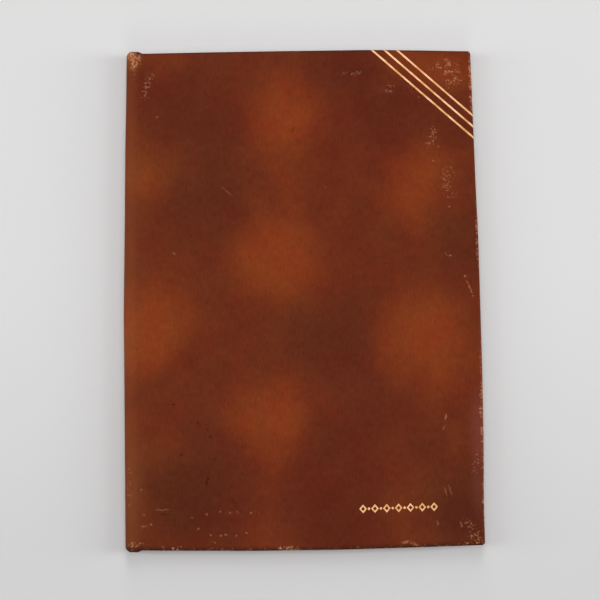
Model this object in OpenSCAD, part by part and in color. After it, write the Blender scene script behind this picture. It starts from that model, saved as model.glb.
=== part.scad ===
// Leather portfolio, closed and lying on its back cover.
// X runs from the spine at -X to the fore edge at +X, Y from the tail to the head, Z up.
// The origin is the centre of the face that it lies on.

/* [Covers] */
// Width of a closed cover, from the spine's outer face to the fore edge
cover_w = 242; // [200:1:300]
// Height of a cover, from tail to head
cover_h = 341; // [300:1:420]
// How far the head and tail of the spine stand past the covers
spine_lip = 1.4; // [0.5:0.1:3]
// Plan radius of the two corners at the fore edge
corner_r = 2.2; // [1.9:0.1:6]

/* [Hide] */
// Thickness of the outer hide
hide_t = 1.1; // [0.8:0.1:1.6]
// Thickness of the hide where it is pared and turned in
turn_in_t = 0.4; // [0.3:0.1:0.8]
// Width of the turned-in border on the inside
turn_in_w = 14; // [9:1:25]
// Rounding of the hide where it goes round a board's edge
edge_r = 1.4; // [1.2:0.1:1.7]
// Width of the mitred seam at each inside corner
mitre_w = 0.3; // [0.2:0.1:0.6]
// Depth of that seam
mitre_depth = 0.2; // [0.1:0.05:0.25]

/* [Boards] */
// Thickness of the board in each cover
board_t = 2.2; // [1.6:0.1:3]
// Radius of a board's two corners at the fore edge
board_corner_r = 1.2; // [0.5:0.1:3]

/* [Spine] */
// Outside radius of the soft fold along each side of the spine
bend_r = 2.6; // [2.4:0.1:3.5]
// Width of the strip with no board between a fold and the board
joint_w = 9; // [7:0.5:14]
// Hairline at which a fold is parted from the spine that turns with it
fold_gap = 0.1; // [0.05:0.05:0.3]

/* [Lining] */
// Thickness of the lining
lining_t = 0.5; // [0.3:0.1:0.8]
// Width of turned-in hide that shows round the lining
lining_margin = 4; // [2:0.5:7]

/* [Pockets] */
// Thickness of the leather of the pockets
pocket_t = 1; // [0.7:0.1:1.4]
// Slack inside an empty pocket
pocket_slack = 0.6; // [0.4:0.1:1]
// Width of the flat margin that is stitched down
pocket_hem = 5; // [4:0.5:9]
// Width of the slope from that margin up to the slack part
pocket_slope = 5; // [3:0.5:12]
// Plan radius of the lower corners of a pocket
pocket_corner_r = 4; // [2:0.5:8]
// Distance of a large pocket from the board's edges
pocket_inset = 4; // [2:0.5:9]
// Height of the pocket in the back cover, which takes a writing pad
pad_pocket_h = 240; // [180:1:270]
// Height of the pocket in the front cover, which takes loose papers
document_pocket_h = 205; // [150:1:225]
// Width of the small pocket above it
card_pocket_w = 104; // [80:1:150]
// Height of the small pocket
card_pocket_h = 62; // [45:1:75]
// Distance of the small pocket from the mouth of the large one
card_pocket_rise = 28; // [15:1:40]
// Radius of the thumb notch in a large pocket's mouth
thumb_r = 15; // [9:0.5:22]
// Radius of the thumb notch in the small pocket's mouth
card_thumb_r = 9; // [6:0.5:14]
// Space between the pockets that face each other in the closed portfolio
closed_gap = 0.4; // [0.3:0.1:1]

/* [Gilding] */
// Depth to which the tools press the gilt lines and ornament into the hide
gilt_sink = 0.25; // [0.2:0.05:0.4]
// Thickness of the gilt foil
foil_t = 0.15; // [0.1:0.05:0.18]
// How far down the cover's edges the gilt lines run
gilt_drop = 2; // [1.6:0.1:3]
// Number of gilt lines across the corner
rule_count = 3; // [1:1:5]
// Width of a gilt line
rule_w = 1.2; // [0.6:0.1:2]
// Distance from line to line
rule_pitch = 5.9; // [3:0.1:10]
// Angle between the lines and the head edge, in degrees
rule_angle = 41.6; // [25:0.1:65]
// Distance along the head edge from the corner to the longest line
rule_reach = 70; // [50:1:110]
// Distance of the ornament's centre from the fore edge
ornament_x = 58; // [45:1:150]
// Distance of the ornament's centre from the tail edge
ornament_y = 26.5; // [12:0.5:80]
// Number of lozenges in the row of the ornament
lozenge_count = 7; // [3:1:9]
// Distance from lozenge to lozenge
lozenge_pitch = 8; // [7:0.5:12]
// Width of a lozenge
lozenge_w = 5; // [3.5:0.1:6]
// Height of a lozenge
lozenge_h = 5.9; // [4:0.1:9]
// Width of the line that draws a lozenge
lozenge_line = 0.9; // [0.6:0.1:1.1]
// Diameter of the dots inside and between the lozenges
dot_d = 1.3; // [0.8:0.1:1.5]

/* [Hidden] */
$fn = 48;

// Thickness of the whole closed portfolio, layer by layer
slab_t = hide_t + board_t + turn_in_t;
inside_z = slab_t + lining_t;
pocket_top = pocket_slack + pocket_t;
closed_t = 2 * (inside_z + pocket_top) + closed_gap;

// Places along X
spine_x = -cover_w / 2;
fore_x = cover_w / 2;
fold_x = spine_x + bend_r;
board_x = fold_x + joint_w;
slab_x = board_x - turn_in_t;

// Half heights along Y
cover_y = cover_h / 2;
spine_y = cover_y + spine_lip;
window_y = cover_y - turn_in_w;
lining_y = cover_y - lining_margin;

// Where the large pockets lie
pocket_x0 = board_x + pocket_inset;
pocket_x1 = fore_x - hide_t - lining_margin - pocket_inset;
pocket_y0 = -lining_y + pocket_inset;
large_pocket_w = pocket_x1 - pocket_x0;

// More than any piece's size, for cuts that run right through
beyond = 2 * (cover_w + cover_h);
// A little more than nothing, for cuts that start just outside a face
over = 1;

// Puts a profile of X and Z, drawn in the plane, along the whole of Y between -half_y and half_y
module along_y(half_y) {
    translate([0, half_y, 0])
        rotate([90, 0, 0])
            linear_extrude(2 * half_y)
                children();
}

// Puts a profile of depth and Y, drawn in the plane, along X, with the depth going up
module along_x(x0, x1) {
    translate([x1, 0, 0])
        rotate([0, -90, 0])
            linear_extrude(x1 - x0)
                children();
}

// Turns a profile of depth and Y a quarter round the centre of the lower fold, outer face down and left
module round_fold() {
    translate([fold_x, 0, bend_r])
        mirror([1, 0, 0])
            rotate([-90, 0, 0])
                rotate_extrude(angle = 90)
                    translate([bend_r, 0])
                        mirror([1, 0])
                            children();
}

// Puts a profile of depth and Y up the spine, with the depth going inwards
module up_spine() {
    translate([spine_x, 0, bend_r + fold_gap])
        linear_extrude(closed_t - 2 * (bend_r + fold_gap))
            children();
}

// Turns what is drawn as part of the back cover over, onto the front cover
module as_front() {
    translate([0, 0, closed_t])
        mirror([0, 0, 1])
            children();
}

// Rectangle between two corners, with round corners of radius r
module round_rect(low, high, r) {
    translate([low[0] + r, low[1]])
        square([high[0] - low[0] - 2 * r, high[1] - low[1]]);
    translate([low[0], low[1] + r])
        square([high[0] - low[0], high[1] - low[1] - 2 * r]);
    for (x = [low[0] + r, high[0] - r], y = [low[1] + r, high[1] - r])
        translate([x, y])
            circle(r);
}

// Plan of a sheet that runs to the fore edge and has its two corners there rounded
module fore_plan(x0, x1, half_y, r) {
    translate([x0, -half_y])
        square([x1 - x0 - r, 2 * half_y]);
    translate([x0, r - half_y])
        square([x1 - x0, 2 * (half_y - r)]);
    for (side = [-1, 1])
        translate([x1 - r, side * (half_y - r)])
            circle(r);
}

// Outer form of a cover over its board, with all faces moved in by inset
module cover_form(inset = 0) {
    r = edge_r - inset;
    intersection() {
        along_y(cover_y - inset)
            round_rect([slab_x - 2 * edge_r, inset], [fore_x - inset, slab_t - inset], r);
        along_x(slab_x, fore_x - inset)
            round_rect([inset, inset - cover_y], [slab_t - inset, cover_y - inset], r);
        translate([0, 0, inset])
            linear_extrude(slab_t - 2 * inset)
                fore_plan(slab_x, fore_x - inset, cover_y - inset, corner_r - inset);
    }
}

// The place that a board fills inside the hide
module board_space() {
    translate([board_x, hide_t - cover_y, hide_t])
        cube([fore_x - hide_t - board_x, cover_h - 2 * hide_t, board_t]);
}

// The opening that the turned-in borders leave on the inside
module window() {
    translate([-beyond, -window_y, hide_t])
        cube([beyond + fore_x - turn_in_w, 2 * window_y, beyond]);
}

// Hide in section from tail to head where it has no board: one layer, turned in at both ends
module soft_hide_profile() {
    border_t = hide_t + turn_in_t;
    difference() {
        round_rect([0, -spine_y], [border_t, spine_y], border_t / 2 - turn_in_t / 4);
        translate([hide_t, -window_y])
            square([beyond, 2 * window_y]);
    }
}

// Lining in the same section: it fills the space between the borders and lies over them
module soft_lining_profile() {
    difference() {
        translate([hide_t, -lining_y])
            square([turn_in_t + lining_t, 2 * lining_y]);
        for (side = [0, 1])
            mirror([0, side])
                translate([0, window_y])
                    square([hide_t + turn_in_t, beyond]);
    }
}

// A sheet of thickness t that lies on the bare strip, climbs the board's edge and runs over the board
module laid_sheet(t, x_end, half_y) {
    along_y(half_y)
        polygon([
            [fold_x, hide_t], [board_x, hide_t],
            [board_x, hide_t + board_t], [x_end, hide_t + board_t],
            [x_end, hide_t + board_t + t], [board_x - t, hide_t + board_t + t],
            [board_x - t, hide_t + t], [fold_x, hide_t + t]
        ]);
}

// The bare strip beside the fold: as high as the spine, and drawn in to the cover's height at the board
module soft_strip() {
    draw_in = 2 * spine_lip;
    joined_y = cover_y - edge_r;
    intersection() {
        along_x(fold_x, board_x)
            soft_hide_profile();
        linear_extrude(slab_t)
            polygon([
                [fold_x, -spine_y], [slab_x - draw_in, -spine_y], [slab_x, -cover_y],
                [slab_x, -joined_y], [board_x, -joined_y], [board_x, joined_y], [slab_x, joined_y],
                [slab_x, cover_y], [slab_x - draw_in, spine_y], [fold_x, spine_y]
            ]);
    }
}

// Seams at the fore edge's inside corners, where two borders meet
module mitres() {
    for (side = [0, 1])
        mirror([0, side, 0])
            translate([fore_x - turn_in_w, window_y, slab_t - mitre_depth])
                rotate([0, 0, 45])
                    translate([-turn_in_w / 2, -mitre_w / 2, 0])
                        cube([2 * turn_in_w, mitre_w, slab_t]);
}

// The hide of one cover, turned in round its board on three sides and at the head and tail of the strip
module cover_leather() {
    difference() {
        union() {
            cover_form();
            soft_strip();
        }
        board_space();
        window();
        mitres();
    }
}

module board() {
    translate([0, 0, hide_t])
        linear_extrude(board_t)
            fore_plan(board_x, fore_x - hide_t, cover_y - hide_t, board_corner_r);
}

module cover_lining() {
    border_t = turn_in_t;
    difference() {
        laid_sheet(border_t + lining_t, fore_x - lining_margin, lining_y);
        difference() {
            laid_sheet(border_t, fore_x, cover_y);
            window();
        }
    }
}

module fold() {
    round_fold()
        soft_hide_profile();
}

module fold_lining() {
    round_fold()
        soft_lining_profile();
}

// Rise of a pocket's panel over its width: flat hem, slope, slack part, slope, flat hem
module pocket_width_profile(w, base, rise) {
    polygon([
        [0, 0], [0, base], [pocket_hem, base], [pocket_hem + pocket_slope, base + rise],
        [w - pocket_hem - pocket_slope, base + rise], [w - pocket_hem, base], [w, base], [w, 0]
    ]);
}

// Rise of the panel over its height: flat hem and slope at the bottom, open at the mouth
module pocket_height_profile(h, base, rise) {
    polygon([
        [0, 0], [0, base], [pocket_hem, base], [pocket_hem + pocket_slope, base + rise],
        [h, base + rise], [h, 0]
    ]);
}

// Form under a pocket's panel, or under and with it, standing on z = 0
module pocket_form(w, h, h_end, base, rise) {
    intersection() {
        translate([0, h_end, 0])
            rotate([90, 0, 0])
                linear_extrude(h_end)
                    pocket_width_profile(w, base, rise);
        rotate([90, 0, 90])
            linear_extrude(w)
                pocket_height_profile(h_end, base, rise);
    }
}

// A leather panel, stitched down on three sides and open at the top, with a thumb notch in its mouth
module pocket(w, h, notch_r) {
    difference() {
        intersection() {
            pocket_form(w, h, h, pocket_t, pocket_slack);
            linear_extrude(pocket_top)
                pocket_plan(w, h);
        }
        translate([0, 0, -pocket_t])
            pocket_form(w, h, h + over, pocket_t, pocket_slack);
        translate([w / 2, h, -over])
            cylinder(h = pocket_top + 2 * over, r = notch_r);
    }
}

// Plan of a pocket, round at its lower corners
module pocket_plan(w, h) {
    translate([pocket_corner_r, 0])
        square([w - 2 * pocket_corner_r, h]);
    translate([0, pocket_corner_r])
        square([w, h - pocket_corner_r]);
    for (x = [pocket_corner_r, w - pocket_corner_r])
        translate([x, pocket_corner_r])
            circle(pocket_corner_r);
}

// A layer of the outer face under a plan, from depth top down to depth floor; a top below 0 is above the face
module pressed(top, floor) {
    difference() {
        intersection() {
            cover_form(top);
            translate([0, 0, -2 * over])
                linear_extrude(2 * over + gilt_drop)
                    children();
        }
        cover_form(floor);
    }
}

// Plan of the parallel lines across the corner at the head and fore edge
module rules_plan() {
    for (i = [0 : rule_count - 1])
        translate([fore_x - rule_reach, cover_y])
            rotate(-rule_angle)
                translate([-beyond / 4, i * rule_pitch - rule_w / 2])
                    square([beyond / 2, rule_w]);
}

// Plan of one open lozenge with a dot at its centre
module lozenge_plan() {
    shrink = lozenge_line / min(lozenge_w, lozenge_h);
    difference() {
        polygon([[-lozenge_w / 2, 0], [0, -lozenge_h / 2], [lozenge_w / 2, 0], [0, lozenge_h / 2]]);
        polygon([
            [-lozenge_w * (0.5 - shrink), 0], [0, -lozenge_h * (0.5 - shrink)],
            [lozenge_w * (0.5 - shrink), 0], [0, lozenge_h * (0.5 - shrink)]
        ]);
    }
}

// Plan of the row of lozenges and dots, centred on its place on the cover
module ornament_plan() {
    translate([fore_x - ornament_x, ornament_y - cover_y])
        for (i = [0 : lozenge_count - 1])
            translate([(i - (lozenge_count - 1) / 2) * lozenge_pitch, 0]) {
                lozenge_plan();
                if (i < lozenge_count - 1)
                    translate([lozenge_pitch / 2, 0])
                        circle(d = dot_d);
            }
}

module back_cover_leather() {
    color("#6b301b")
        cover_leather();
}

module back_board() {
    color("#8d8069")
        board();
}

module back_lining() {
    color("#7a4b2c")
        cover_lining();
}

module pad_pocket() {
    color("#5f2c1a")
        translate([pocket_x0, pocket_y0, inside_z])
            pocket(large_pocket_w, pad_pocket_h, thumb_r);
}

module lower_fold() {
    color("#6b301b")
        fold();
}

module lower_fold_lining() {
    color("#7a4b2c")
        fold_lining();
}

module spine_leather() {
    color("#6b301b")
        up_spine()
            soft_hide_profile();
}

module spine_lining() {
    color("#7a4b2c")
        up_spine()
            soft_lining_profile();
}

module upper_fold() {
    color("#6b301b")
        as_front()
            fold();
}

module upper_fold_lining() {
    color("#7a4b2c")
        as_front()
            fold_lining();
}

module front_cover_leather() {
    color("#6b301b")
        as_front()
            difference() {
                cover_leather();
                pressed(-over, gilt_sink)
                    rules_plan();
                pressed(-over, gilt_sink)
                    ornament_plan();
            }
}

module front_board() {
    color("#8d8069")
        as_front()
            board();
}

module front_lining() {
    color("#7a4b2c")
        as_front()
            cover_lining();
}

module document_pocket() {
    color("#5f2c1a")
        as_front()
            translate([pocket_x0, pocket_y0, inside_z])
                pocket(large_pocket_w, document_pocket_h, thumb_r);
}

module card_pocket() {
    color("#5f2c1a")
        as_front()
            translate([pocket_x1 - card_pocket_w, pocket_y0 + document_pocket_h + card_pocket_rise, inside_z])
                pocket(card_pocket_w, card_pocket_h, card_thumb_r);
}

module gilt_rules() {
    color("#e6b85c")
        as_front()
            pressed(gilt_sink - foil_t, gilt_sink)
                rules_plan();
}

module gilt_ornament() {
    color("#e6b85c")
        as_front()
            pressed(gilt_sink - foil_t, gilt_sink)
                ornament_plan();
}

back_cover_leather();
back_board();
back_lining();
pad_pocket();
lower_fold();
lower_fold_lining();
spine_leather();
spine_lining();
upper_fold();
upper_fold_lining();
front_cover_leather();
front_board();
front_lining();
document_pocket();
card_pocket();
gilt_rules();
gilt_ornament();
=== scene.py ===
# %% [markdown]
# # A leather portfolio
# The real object holds loose papers and a writing pad. One sheet of mottled calfskin covers two
# pasteboards and the soft spine between them, and it is turned in round every edge. Inside are a
# thin leather lining and three stitched pockets. It is closed and lies on its back cover.
# The frame from the CAD source says where each piece is. Here every leather piece is modelled
# again as a continuous skin, because one hide runs over board, fold and spine without a seam.

# %% Load the frame
import math

import bmesh
import bpy
import numpy as np
from mathutils import Matrix, Vector


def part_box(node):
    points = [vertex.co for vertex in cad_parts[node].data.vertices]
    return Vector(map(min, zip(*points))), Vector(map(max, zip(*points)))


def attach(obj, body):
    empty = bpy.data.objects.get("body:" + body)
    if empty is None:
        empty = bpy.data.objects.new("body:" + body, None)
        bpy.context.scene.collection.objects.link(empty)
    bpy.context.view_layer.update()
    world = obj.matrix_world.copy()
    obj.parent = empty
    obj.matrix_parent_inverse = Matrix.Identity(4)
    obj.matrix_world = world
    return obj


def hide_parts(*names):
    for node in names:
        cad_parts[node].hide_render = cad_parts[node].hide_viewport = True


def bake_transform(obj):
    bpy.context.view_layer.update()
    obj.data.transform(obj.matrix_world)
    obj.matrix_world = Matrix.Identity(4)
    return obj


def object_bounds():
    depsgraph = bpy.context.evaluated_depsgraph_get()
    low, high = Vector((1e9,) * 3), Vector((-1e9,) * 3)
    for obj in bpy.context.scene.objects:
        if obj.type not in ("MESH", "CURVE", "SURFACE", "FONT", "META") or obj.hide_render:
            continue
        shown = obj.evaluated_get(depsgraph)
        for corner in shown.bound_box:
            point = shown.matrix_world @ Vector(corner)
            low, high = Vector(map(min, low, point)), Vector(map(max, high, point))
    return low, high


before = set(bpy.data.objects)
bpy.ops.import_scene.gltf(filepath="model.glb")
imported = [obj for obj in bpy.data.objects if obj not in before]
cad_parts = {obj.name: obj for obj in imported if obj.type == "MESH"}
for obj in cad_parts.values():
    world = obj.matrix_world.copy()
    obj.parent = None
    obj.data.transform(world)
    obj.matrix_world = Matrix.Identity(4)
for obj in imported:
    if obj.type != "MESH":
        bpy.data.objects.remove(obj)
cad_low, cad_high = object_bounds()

print("pieces in the frame:", len(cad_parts))

# %% [markdown]
# ## Sizes
# All lengths are in millimetres until they reach Blender, which works in metres here. The sizes
# that the frame shows are read from its nodes, so that the skin always fits the solids. The rest
# are the maker's sizes, such as the width of the border that is turned in.

# %% Read the sizes
MM = 0.001


def box_mm(name):
    """Lowest and highest corner of a node of the frame, in millimetres."""
    low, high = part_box(name)
    return [round(c / MM, 3) for c in low], [round(c / MM, 3) for c in high]


board_low, board_high = box_mm("back_board")
slab_low, slab_high = box_mm("back_cover_leather")
lining_high = box_mm("back_lining")[1]
spine_low, spine_high = box_mm("spine_leather")

closed_t = round(cad_high.z / MM, 3)
spine_x, spine_y = spine_low[0], spine_high[1]
fore_x, fold_x, slab_t = slab_high[0], slab_low[0], slab_high[2]
board_x, hide_t = board_low[0], board_low[2]
board_t = board_high[2] - hide_t
turn_in_t = round(slab_t - board_t - hide_t, 3)
cover_y = board_high[1] + hide_t
inside_z, lining_y, lining_x = lining_high[2], lining_high[1], lining_high[0]
bend_r = fold_x - spine_x
slab_x = board_x - turn_in_t
strip_t = hide_t + turn_in_t
lining_t = inside_z - slab_t

# The maker's sizes: the border that is turned in, the roundings of the rims and of the corners
# in plan, the depth of the gilt grooves, and the thickness of the foil, drawn thicker than real.
turn_in_w = 14
edge_r, corner_r, board_corner_r = 1.4, 2.2, 1.2
gilt_sink, foil_t = 0.25, 0.15

print(f"closed: {fore_x - spine_x:.0f} x {2 * spine_y:.1f} x {closed_t:.1f} mm")
print(f"hide {hide_t} mm, board {board_t:.1f} mm, lining {lining_t:.1f} mm")

# %% [markdown]
# ## Working by hand, in code
# Blender's edit tools act on whatever is selected. The first few helpers open a piece and select
# parts of it by their place.

# %% Select by place
def only(*pieces):
    """Leaves just these pieces selected in object mode, the first one active."""
    if bpy.context.mode != "OBJECT":
        bpy.ops.object.mode_set(mode="OBJECT")
    bpy.ops.object.select_all(action="DESELECT")
    for piece in pieces:
        piece.select_set(True)
    bpy.context.view_layer.objects.active = pieces[0]


def choose(piece, kind, test):
    """Opens a piece in edit mode and selects its VERT, EDGE or FACE parts that pass the test."""
    only(piece)
    bpy.ops.object.mode_set(mode="EDIT")
    bpy.ops.mesh.select_mode(type=kind)
    bpy.ops.mesh.select_all(action="DESELECT")
    shape = bmesh.from_edit_mesh(piece.data)
    parts = {"VERT": shape.verts, "EDGE": shape.edges, "FACE": shape.faces}[kind]
    found = [part for part in parts if test(part)]
    for part in found:
        part.select_set(True)
    bmesh.update_edit_mesh(piece.data)
    return len(found)


def middle(part):
    """Centre of an edge or face, in millimetres."""
    return sum((v.co for v in part.verts), Vector()) / len(part.verts) / MM


def runs_along(edge, axis):
    """True if an edge runs along X, Y or Z, given as 0, 1 or 2."""
    way = edge.verts[1].co - edge.verts[0].co
    return abs(way[axis]) > 0.99 * way.length


def everything(part):
    """The test that every part passes."""
    return True


# %% [markdown]
# The next ones do what is needed again and again: a block between two corners, a modifier that
# is applied at once, a cut with another piece, and a mirror image for the front cover.

# %% Make, cut and copy
def merge(piece):
    """Merges corners that lie on each other, which a cut can leave behind."""
    choose(piece, "VERT", everything)
    bpy.ops.mesh.remove_doubles(threshold=0.004 * MM)
    bpy.ops.object.mode_set(mode="OBJECT")


def block(name, low, high):
    """A cube primitive, sized and placed between two corners in millimetres."""
    if bpy.context.mode != "OBJECT":
        bpy.ops.object.mode_set(mode="OBJECT")
    bpy.ops.object.select_all(action="DESELECT")
    low, high = Vector(low) * MM, Vector(high) * MM
    bpy.ops.mesh.primitive_cube_add(size=1, location=(low + high) / 2)
    piece = bpy.context.object
    piece.name = piece.data.name = name
    piece.scale = high - low
    bpy.ops.object.transform_apply(location=True, rotation=True, scale=True)
    return piece


def finish_with(piece, kind, **settings):
    """Adds a modifier with its settings and applies it."""
    only(piece)
    modifier = piece.modifiers.new(kind, kind)
    for setting, value in settings.items():
        setattr(modifier, setting, value)
    bpy.ops.object.modifier_apply(modifier=modifier.name)


def combine(piece, tool, operation):
    """Joins, cuts or intersects a piece with a tool, and takes the tool away."""
    finish_with(piece, "BOOLEAN", operation=operation, solver="EXACT", object=tool)
    bpy.data.objects.remove(tool)


def copy_of(piece, name):
    """A copy with its own mesh."""
    made = piece.copy()
    made.data = piece.data.copy()
    made.name = made.data.name = name
    bpy.context.collection.objects.link(made)
    return made


def turn_over(piece):
    """Mirrors a piece from the back cover's side to the front cover's, and turns its faces out."""
    choose(piece, "FACE", everything)
    centre = (0, 0, closed_t / 2 * MM)
    bpy.ops.transform.resize(value=(1, 1, -1), center_override=centre)
    bpy.ops.mesh.normals_make_consistent(inside=False)
    bpy.ops.object.mode_set(mode="OBJECT")


# %% Measure
def open_edges(piece):
    """Number of edges that don't have exactly two faces; a closed skin has none."""
    shape = bmesh.new()
    shape.from_mesh(piece.data)
    count = sum(not edge.is_manifold for edge in shape.edges)
    shape.free()
    return count


def tell(piece):
    """Prints what a piece measures."""
    corners = [Vector(c) / MM for c in piece.bound_box]
    size = [max(c[i] for c in corners) - min(c[i] for c in corners) for i in range(3)]
    faces = len(piece.data.polygons)
    print(f"{piece.name}: {size[0]:.1f} x {size[1]:.1f} x {size[2]:.1f} mm,",
          f"{faces} faces, {open_edges(piece)} open edges")


# %% [markdown]
# ## The slab of a covered board
# A board with leather round it is a flat slab with soft rims. Its form is needed several times:
# for the hide itself and, a little smaller, for the floor of the gilt lines that are pressed into
# it. So it is made by one function that moves all faces inwards by the same amount. The block's
# two corners at the fore edge are bevelled in plan first and its rims after that, because a bevel
# that is made later runs round the earlier one.

# %% Form of a covered board
def board_form(name, inset):
    """The outer form of a covered board, in the back cover's place, with its faces moved in."""
    slab = block(name, (slab_x, inset - cover_y, inset),
                 (fore_x - inset, cover_y - inset, slab_t - inset))
    choose(slab, "EDGE", lambda e: runs_along(e, 2) and middle(e).x > 0)
    bpy.ops.mesh.bevel(offset=(corner_r - inset) * MM, segments=4)
    choose(slab, "EDGE", lambda e: not runs_along(e, 2) and middle(e).x > slab_x + 1)
    bpy.ops.mesh.bevel(offset=(edge_r - inset) * MM, segments=4)
    bpy.ops.object.mode_set(mode="OBJECT")
    return slab


# %% [markdown]
# ## The soft strip, the fold and the spine
# Past the board the hide has nothing inside. It runs flat for 9 mm, turns a quarter round the
# fold and goes up the spine. The same path serves the hide and its lining. A block lies on the
# flat strip. Its end face is spun a quarter turn about the fold's centre, as a bookbinder's bone
# folder would turn it, and is then extruded up the spine to half its height, where the other
# cover's half meets it.

# %% Round the fold and up the spine
FOLD_STEPS = 8


def round_the_fold(sheet, top_z):
    """Spins a flat strip's end face round the fold and extrudes it up the spine to a height."""
    choose(sheet, "FACE", lambda f: f.normal.x < -0.9 and middle(f).x < fold_x + 0.01)
    centre = (fold_x * MM, 0, bend_r * MM)
    bpy.ops.mesh.spin(steps=FOLD_STEPS, angle=math.pi / 2, center=centre, axis=(0, -1, 0))
    choose(sheet, "FACE", lambda f: f.normal.z > 0.9 and abs(middle(f).z - bend_r) < 0.01
           and middle(f).x < fold_x)
    rise = {"value": (0, 0, (top_z - bend_r) * MM)}
    bpy.ops.mesh.extrude_region_move(TRANSFORM_OT_translate=rise)
    bpy.ops.object.mode_set(mode="OBJECT")


# %% [markdown]
# ## The hide of one cover
# The slab's end face towards the spine is cut at the thickness of the bare strip, and its lower
# part is extruded: first over a short slope to the strip's height, which is a little more than
# the board's, because the strip forms the caps at the head and tail of the spine, then to the
# fold, round it, and up. Then the inside is cut away: the place of the board, and the window
# that the turned-in borders leave free. Two narrow cuts at the fore edge's inside corners are
# the mitres where the borders meet.

# %% Extrude the strip from the slab
CAP_BEVEL = 0.4


def depth_of(point):
    """How deep a point of the strip, fold or spine lies under the outer face, in millimetres."""
    x, z = point.x / MM, point.z / MM
    if x >= fold_x:
        return z
    if z >= bend_r:
        return x - spine_x
    return bend_r - math.hypot(x - fold_x, z - bend_r)


def hide_with_strip(name):
    """A slab with the strip, fold and half spine, as thick as the hide and its border."""
    hide = board_form(name, 0)
    choose(hide, "FACE", everything)
    bpy.ops.mesh.bisect(plane_co=(0, 0, strip_t * MM), plane_no=(0, 0, 1))
    slope = 2 * (spine_y - cover_y)
    for step, scale in ((slope, spine_y / cover_y), (slab_x - slope - fold_x, 1)):
        choose(hide, "FACE", lambda f: f.normal.x < -0.9 and middle(f).z < strip_t)
        bpy.ops.mesh.extrude_region_move(TRANSFORM_OT_translate={"value": (-step * MM, 0, 0)})
        bpy.ops.transform.resize(value=(1, scale, 1), center_override=(0, 0, 0))
    round_the_fold(hide, closed_t / 2)
    choose(hide, "VERT", lambda v: v.co.x / MM < slab_x - 1 and abs(v.co.y) / MM > spine_y - 0.1
           and depth_of(v.co) > strip_t - 0.05)
    bpy.ops.transform.resize(value=(1, 1 - CAP_BEVEL / spine_y, 1), center_override=(0, 0, 0))
    bpy.ops.object.mode_set(mode="OBJECT")
    return hide


# %% Hollow the hide
MITRE_START, MITRE_END, MITRE_HALF, MITRE_DEPTH = 8, 27, 0.15, 0.2


def cover_hide(name):
    """The whole hide of the back cover, before the gilding and before its outline gets its bows."""
    hide = hide_with_strip(name)
    window_y = cover_y - turn_in_w
    above = block("strip_window", (fold_x, -window_y, hide_t),
                  (board_x + 2, window_y, bend_r - 0.1))
    round_the_fold(above, closed_t / 2 + 1)
    combine(hide, above, "DIFFERENCE")
    room = block("board_room", (board_x, -board_high[1], hide_t),
                 (board_high[0], board_high[1], hide_t + board_t))
    combine(hide, room, "DIFFERENCE")
    window = block("window", (board_x - 1, -window_y, hide_t + 0.5),
                   (fore_x - turn_in_w, window_y, slab_t + 1))
    combine(hide, window, "DIFFERENCE")
    for side in (-1, 1):
        combine(hide, mitre_cut(side, window_y), "DIFFERENCE")
    merge(hide)
    return hide


def mitre_cut(side, window_y):
    """A narrow bar that lies at 45 degrees over an inside corner of the border."""
    corner = Vector((fore_x - turn_in_w, side * window_y, slab_t))
    bar = block("mitre", corner - Vector((MITRE_START, MITRE_HALF, MITRE_DEPTH)),
                corner + Vector((MITRE_END, MITRE_HALF, 1)))
    choose(bar, "FACE", everything)
    bpy.ops.transform.rotate(value=-side * math.pi / 4, orient_axis="Z",
                             center_override=corner * MM)
    bpy.ops.object.mode_set(mode="OBJECT")
    return bar


back_hide = cover_hide("back_hide")
tell(back_hide)
front_hide = copy_of(back_hide, "front_hide")
turn_over(front_hide)
tell(front_hide)

# %% [markdown]
# ## The gilt lines and ornament
# The finisher lays gold foil on the hide and presses it down with hot brass tools, so the gold
# lies at the bottom of a shallow groove. Three straight lines cross the head corner and run over
# both edges. Near the tail a row of open lozenges and dots stands. Every tool is first a prism
# that stands through the face. The groove is the prism without the slab's form moved in by a
# quarter of a millimetre, so its floor follows the rounded rim. The foil is the same prism kept
# between two such forms.

# %% Tools for the lines
RULE_WIDTH, RULE_PITCH, RULE_ANGLE, RULE_REACH = 1.35, 5.9, 41.6, 70
RULE_START, RULE_END, GILT_DROP = -25, 120, 2


def rule_tools(name):
    """Three parallel bars across the corner at the head and the fore edge."""
    turn = Matrix.Rotation(math.radians(-RULE_ANGLE), 4, "Z")
    start = Vector((fore_x - RULE_REACH, cover_y, 0))
    bars = []
    for i in range(3):
        low = (RULE_START, i * RULE_PITCH - RULE_WIDTH / 2, -1)
        high = (RULE_END, i * RULE_PITCH + RULE_WIDTH / 2, GILT_DROP)
        bar = block(f"{name}_{i}", low, high)
        bar.data.transform(Matrix.Translation(start * MM) @ turn)
        bars.append(bar)
    only(*bars)
    bpy.ops.object.join()
    bars[0].name = name
    return bars[0]


# %% Tools for the ornament
ORNAMENT_X, ORNAMENT_Y = fore_x - 58, 26.5 - cover_y
LOZENGES, LOZENGE_PITCH, LOZENGE_WIDTH, LOZENGE_HEIGHT, LOZENGE_LINE = 7, 8, 5.2, 5.9, 1.35
# A line's width square to its slanted sides, as a share of its width across a corner.
SLANT = 0.72
DOT = 1.8


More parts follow.
